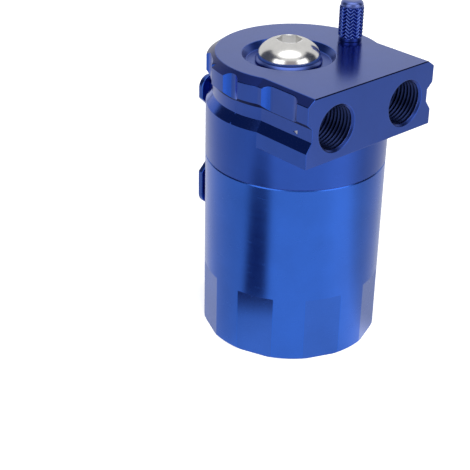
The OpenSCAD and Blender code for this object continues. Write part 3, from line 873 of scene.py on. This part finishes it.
def make_knob():
    lo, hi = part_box("dipstick_knob")
    middle = (lo + hi) / 2
    knob_r = (hi.x - lo.x) / 2
    smooth_r = knob_r - KNURL_DEPTH
    foot_r = knob_r - 0.22 * MM
    low, high = top_z + KNOB_COLLAR, hi.z - KNOB_ROUND
    columns, rows = KNURL_COUNT * KNURL_STEPS_ACROSS, KNURL_ROWS * KNURL_STEPS_UP
    # Radius, height and, on the knurl, the share of its height
    profile = [
        (0, lo.z, None),
        (STEM_R - 0.4 * MM, lo.z, None),
        (STEM_R, lo.z + 0.4 * MM, None),
        (STEM_R, top_z, None),
        (foot_r - 0.15 * MM, top_z, None),
        (foot_r, top_z + 0.15 * MM, None),
        (foot_r, low - 0.25 * MM, None),
        (smooth_r, low - 0.05 * MM, None),
    ]
    profile += [(smooth_r, low + (high - low) * k / rows, k / rows) for k in range(rows + 1)]
    profile.append((smooth_r + 0.1 * MM, high + 0.05 * MM, None))
    profile += [(r, z, None) for r, z in arc((smooth_r - 1.5 * MM, hi.z - 1.6 * MM), 1.6 * MM, 0, 86, 10)]
    profile += [(smooth_r - 1.8 * MM, hi.z, None), (0, hi.z, None)]
    rings = []
    bm = bmesh.new()
    crest_highlight = bm.verts.layers.float.new("knurl")
    for r, z, up in profile:
        if r == 0:
            rings.append([bm.verts.new((0, 0, z))])
            continue
        ring = []
        for k in range(columns):
            angle = 2 * math.pi * k / columns
            radius = r
            # Rings below the knurl take the painted shade colour, rings above it partly the painted
            # highlight.
            share = 0.0 if z < high else 0.35
            if up is not None:
                fade = min(1.0, 60 * min(up, 1 - up))
                share = fade * knurl_height(k / columns, up * KNURL_ROWS)
                radius = r + KNURL_DEPTH * share
            vert = bm.verts.new((radius * math.cos(angle), radius * math.sin(angle), z))
            vert[crest_highlight] = share
            ring.append(vert)
        rings.append(ring)
    bridge(bm, rings, columns)
    bmesh.ops.recalc_face_normals(bm, faces=bm.faces)
    smooth_by_angle(bm, 25)
    bm.transform(Matrix.Translation((middle.x, middle.y, 0)))
    piece = to_object("dipstick_grip", bm, "knob", "knob_collar", "knob_cap_highlight")
    # The collar gets painted shade and the top a painted highlight.
    for polygon in piece.data.polygons:
        if top_z - MM < polygon.center.z < low - 0.03 * MM:
            polygon.material_index = 1
        elif polygon.center.z > high + 0.03 * MM:
            polygon.material_index = 2
    place(piece, "dipstick", "knob_blue", "dipstick_knob")


def make_bracket():
    piece = cad_copy("mounting_bracket", "bracket_plate", "bracket", "bracket_edge_highlight",
                     soft=lambda p: True, width=BRACKET_EDGE_WIDTH)
    even_normals(piece)
    place(piece, "head", "bracket_blue", "mounting_bracket")
    back_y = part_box("mounting_bracket")[1].y
    for side in ("left", "right"):
        node = f"bracket_screw_{side}"
        screw = cad_copy(node, f"clamp_screw_{side}", "steel",
                         soft=lambda p: p.y > back_y - 0.1 * MM, width=FINE_EDGE_WIDTH)
        even_normals(screw)
        place(screw, "head", "steel", node)


def make_drain():
    thread_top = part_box("drain_plug")[1].z
    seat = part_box("drain_washer")[1].z
    piece = cad_copy("drain_plug", "drain_screw", "steel", soft=lambda p: p.z < 1.2 * MM)
    cut(piece, [coil(DRAIN_R, DRAIN_THREAD, seat + 0.3 * MM, thread_top - seat, inside=False, steps=48)])
    even_normals(piece)
    place(piece, "drain_plug", "steel", "drain_plug")


def finish_inner_nodes():
    """Finishes for the CAD nodes that are shown as they are."""
    finishes = {
        "cup_seal_ring": ("rubber", "rubber_black"),
        "dipstick_seal_ring": ("rubber", "rubber_black"),
        "dipstick_rod": ("steel", "steel"),
        "drop_tube": ("aluminium", "raw_aluminium"),
        "baffle_plate": ("aluminium", "raw_aluminium"),
        "mesh_retainer": ("aluminium", "raw_aluminium"),
        "mesh_pack": ("wire", "wire_mesh"),
        "drain_washer": ("copper", "copper"),
    }
    for number in (1, 2, 3):
        finishes[f"baffle_standoff_{number}"] = ("steel", "steel")
        finishes[f"baffle_screw_{number}"] = ("steel", "steel")
    for node, (finish, slot) in finishes.items():
        piece = frame["nodes"][node]
        piece.data.materials.clear()
        piece.data.materials.append(materials[finish])


# Studio


def only_reflected(card):
    """A card that metal reflects, and that neither shows nor lights or shades anything else."""
    card.visible_camera = False
    card.visible_diffuse = False
    card.visible_shadow = False
    card.visible_transmission = False
    card.visible_volume_scatter = False


def glow(name, strength, tint=(1, 1, 1)):
    """A glowing material, as (material, node tree, light)."""
    material = bpy.data.materials.new(name)
    material.use_nodes = True
    tree = material.node_tree
    tree.nodes.clear()
    light = add(tree, "ShaderNodeEmission", values={"Strength": strength, "Color": (*tint, 1)})
    output = add(tree, "ShaderNodeOutputMaterial")
    tree.links.new(light.outputs["Emission"], output.inputs["Surface"])
    return material, tree, light


def soft_glow(name, strength, tint=(1, 1, 1)):
    """A glow that fades to clear where the vertices' attribute cover falls from 1 to 0."""
    material, tree, light = glow(name, strength, tint)
    cover = add(tree, "ShaderNodeAttribute", attribute_name="cover")
    clear = add(tree, "ShaderNodeBsdfTransparent")
    mix = add(tree, "ShaderNodeMixShader")
    output = next(node for node in tree.nodes if node.type == "OUTPUT_MATERIAL")
    tree.links.new(cover.outputs["Fac"], mix.inputs["Fac"])
    tree.links.new(clear.outputs["BSDF"], mix.inputs[1])
    tree.links.new(light.outputs["Emission"], mix.inputs[2])
    tree.links.new(mix.outputs["Shader"], output.inputs["Surface"])
    return material


def round_floor_card(name, stops):
    """Ring on the floor whose brightness changes with the direction from the can. Each stop has the
    degrees to the right of the camera and the brightness."""
    bm = bmesh.new()
    inner, outer, segments = 0.031, 1.6, 72
    bridge(bm, [circle(bm, inner, 0, segments), circle(bm, outer, 0, segments)], segments)
    card = to_object(name, bm)
    card.location.z = FLOOR_CARD_Z
    card.rotation_euler.z = CAMERA_AZIMUTH - math.pi / 2
    material, tree, light = glow(name, 1.0)
    coordinates = add(tree, "ShaderNodeTexCoord")
    gradient = add(tree, "ShaderNodeTexGradient", gradient_type="RADIAL")
    ramp = add(tree, "ShaderNodeValToRGB")
    tree.links.new(coordinates.outputs["Object"], gradient.inputs["Vector"])
    tree.links.new(gradient.outputs["Fac"], ramp.inputs["Fac"])
    tree.links.new(ramp.outputs["Color"], light.inputs["Color"])
    elements = ramp.color_ramp.elements
    while len(elements) < len(stops):
        elements.new(0.5)
    for element, (degrees, brightness) in zip(elements, stops):
        element.position = 0.5 + degrees / 360
        element.color = (brightness, brightness, brightness, 1)
    card.data.materials.append(material)
    only_reflected(card)


def faded(start, end, steps):
    """Degrees across a card with the card's cover at each: 0 at its ends and 1 between."""
    inner_start, inner_end = start + CARD_FADE, end - CARD_FADE
    full = [(inner_start + (inner_end - inner_start) * k / steps, 1) for k in range(steps + 1)]
    return [(start - CARD_FADE, 0)] + full + [(end + CARD_FADE, 0)]


def sky_card(name, sideways, upwards, brightness, tint=(1, 1, 1)):
    """Curved card round the can, in degrees to the right of the camera and up from the horizon."""
    bm = bmesh.new()
    cover = bm.verts.layers.float.new("cover")
    columns = faded(*sideways, 10)
    grid = []
    for rise, up_share in faded(*upwards, 2):
        flat = CARD_DISTANCE * math.cos(math.radians(rise))
        z = CARD_DISTANCE * math.sin(math.radians(rise))
        row = []
        for degrees, side_share in columns:
            turn = CAMERA_AZIMUTH - math.pi / 2 + math.radians(degrees)
            vert = bm.verts.new((flat * math.cos(turn), flat * math.sin(turn), z))
            vert[cover] = up_share * side_share
            row.append(vert)
        grid.append(row)
    bridge(bm, grid, len(columns) - 1)
    card = to_object(name, bm)
    card.data.materials.append(soft_glow(name, brightness, tint))
    only_reflected(card)


def oval_card(name, sideways, upwards, half_across, half_along, brightness):
    """Oval card round a direction, with its half angles across and along in degrees."""
    turn = CAMERA_AZIMUTH - math.pi / 2 + math.radians(sideways)
    rise = math.radians(upwards)
    towards = Vector((math.cos(rise) * math.cos(turn), math.cos(rise) * math.sin(turn), math.sin(rise)))
    across = Vector((-math.sin(turn), math.cos(turn), 0))
    along = towards.cross(across)
    wide = SOFTBOX_DISTANCE * math.tan(math.radians(half_across))
    high = SOFTBOX_DISTANCE * math.tan(math.radians(half_along))
    bm = bmesh.new()
    cover = bm.verts.layers.float.new("cover")
    rings = []
    for size, share in ((1.12, 0.0), (0.88, 1.0)):
        ring = []
        for k in range(48):
            a = 2 * math.pi * k / 48
            offset = across * (wide * math.cos(a)) + along * (high * math.sin(a))
            vert = bm.verts.new(towards * SOFTBOX_DISTANCE + size * offset)
            vert[cover] = share
            ring.append(vert)
        rings.append(ring)
    bridge(bm, rings, 48)
    bm.faces.new(rings[1])
    card = to_object(name, bm)
    card.data.materials.append(soft_glow(name, brightness))
    only_reflected(card)


def floor_patch(name, rows, brightness, tint):
    """Soft patch on the floor that the cup reflects. Each row has the metres that a reflection travels
    from the cup, how much the row covers, and the degrees on the cup's side of the patch's four edges,
    which are clear, full, full and clear."""
    bm = bmesh.new()
    cover = bm.verts.layers.float.new("cover")
    grid = []
    for run, share, *edges in rows:
        line = []
        for degrees, full in zip(edges, (0.0, share, share, 0.0)):
            side = CAMERA_AZIMUTH - math.pi / 2 + math.radians(degrees)
            ray = CAMERA_AZIMUTH - math.pi / 2 + math.radians(2 * degrees)
            x = can_r * math.cos(side) + run * math.cos(ray)
            y = can_r * math.sin(side) + run * math.sin(ray)
            vert = bm.verts.new((x, y, 0))
            vert[cover] = full
            line.append(vert)
        grid.append(line)
    bridge(bm, grid, 3)
    card = to_object(name, bm)
    card.location.z = STRIPE_Z
    card.data.materials.append(soft_glow(name, brightness, tint))
    only_reflected(card)


def make_floor():
    bm = bmesh.new()
    bmesh.ops.create_grid(bm, x_segments=1, y_segments=1, size=4)
    floor = to_object("floor", bm)
    material = bpy.data.materials.new("pale_floor")
    material.use_nodes = True
    tree = material.node_tree
    tree.nodes.clear()
    paper = add(tree, "ShaderNodeBsdfDiffuse", values={"Color": (0.8, 0.8, 0.8, 1)})
    light = add(tree, "ShaderNodeEmission", values={"Strength": FLOOR_GLOW})
    both = add(tree, "ShaderNodeAddShader")
    path = add(tree, "ShaderNodeLightPath")
    choose = add(tree, "ShaderNodeMixShader")
    output = add(tree, "ShaderNodeOutputMaterial")
    tree.links.new(paper.outputs["BSDF"], both.inputs[0])
    tree.links.new(light.outputs["Emission"], both.inputs[1])
    tree.links.new(path.outputs["Is Camera Ray"], choose.inputs["Fac"])
    tree.links.new(paper.outputs["BSDF"], choose.inputs[1])
    tree.links.new(both.outputs["Shader"], choose.inputs[2])
    tree.links.new(choose.outputs["Shader"], output.inputs["Surface"])
    floor.data.materials.append(material)


def make_world():
    """White behind the can, and a weaker white for light and for what the metal reflects."""
    world = bpy.data.worlds.new("studio")
    scene.world = world
    world.use_nodes = True
    tree = world.node_tree
    tree.nodes.clear()
    path = add(tree, "ShaderNodeLightPath")
    output = add(tree, "ShaderNodeOutputWorld")
    white = (1, 1, 1, 1)
    light = add(tree, "ShaderNodeBackground", values={"Color": white, "Strength": SKY_LIGHT})
    result = light.outputs[0]
    rays = (("Is Glossy Ray", SKY_GLOSS), ("Is Transmission Ray", 1.0), ("Is Camera Ray", 1.0))
    for ray, strength in rays:
        shown = add(tree, "ShaderNodeBackground", values={"Color": white, "Strength": strength})
        choose = add(tree, "ShaderNodeMixShader")
        tree.links.new(path.outputs[ray], choose.inputs["Fac"])
        tree.links.new(result, choose.inputs[1])
        tree.links.new(shown.outputs[0], choose.inputs[2])
        result = choose.outputs[0]
    tree.links.new(result, output.inputs["Surface"])


def soft_lamp(name, where, size, power):
    """Round area lamp that looks at the can and that metal doesn't reflect."""
    lamp = bpy.data.lights.new(name, "AREA")
    lamp.shape = "DISK"
    lamp.size = size
    lamp.energy = power
    holder = bpy.data.objects.new(name, lamp)
    scene.collection.objects.link(holder)
    holder.location = where
    holder.rotation_euler = (Vector((0, 0, 0.05)) - Vector(where)).to_track_quat("-Z", "Y").to_euler()
    holder.visible_glossy = False


def make_camera():
    azimuth, elevation = CAMERA_AZIMUTH, CAMERA_ELEVATION
    back = Vector((
        math.sin(azimuth) * math.cos(elevation),
        -math.cos(azimuth) * math.cos(elevation),
        math.sin(elevation),
    ))
    right = Vector((math.cos(azimuth), math.sin(azimuth), 0))
    up = back.cross(right)
    rolled_right = math.cos(CAMERA_ROLL) * right + math.sin(CAMERA_ROLL) * up
    rolled_up = -math.sin(CAMERA_ROLL) * right + math.cos(CAMERA_ROLL) * up
    turn = Matrix((rolled_right, rolled_up, back)).transposed()
    data = bpy.data.cameras.new("photo_camera")
    data.lens = CAMERA_LENS
    data.sensor_width = CAMERA_SENSOR
    data.clip_start = 0.01
    data.clip_end = 20
    camera = bpy.data.objects.new("photo_camera", data)
    scene.collection.objects.link(camera)
    camera.matrix_world = Matrix.Translation(CAMERA_PLACE) @ turn.to_4x4()
    scene.camera = camera


make_camera()
make_cup()
make_head()
make_plug()
make_plug_washer()
make_knob()
make_bracket()
make_drain()
finish_inner_nodes()
make_floor()
make_world()
for lamp in LAMPS:
    soft_lamp(*lamp)
round_floor_card("floor_card", FLOOR_LIGHT)
floor_patch("floor_stripe", STRIPE_ROWS, *STRIPE_LIGHT)
for card in SKY_CARDS:
    sky_card(*card)
oval_card("softbox", *SOFTBOX)

scene.view_settings.view_transform = "Standard"
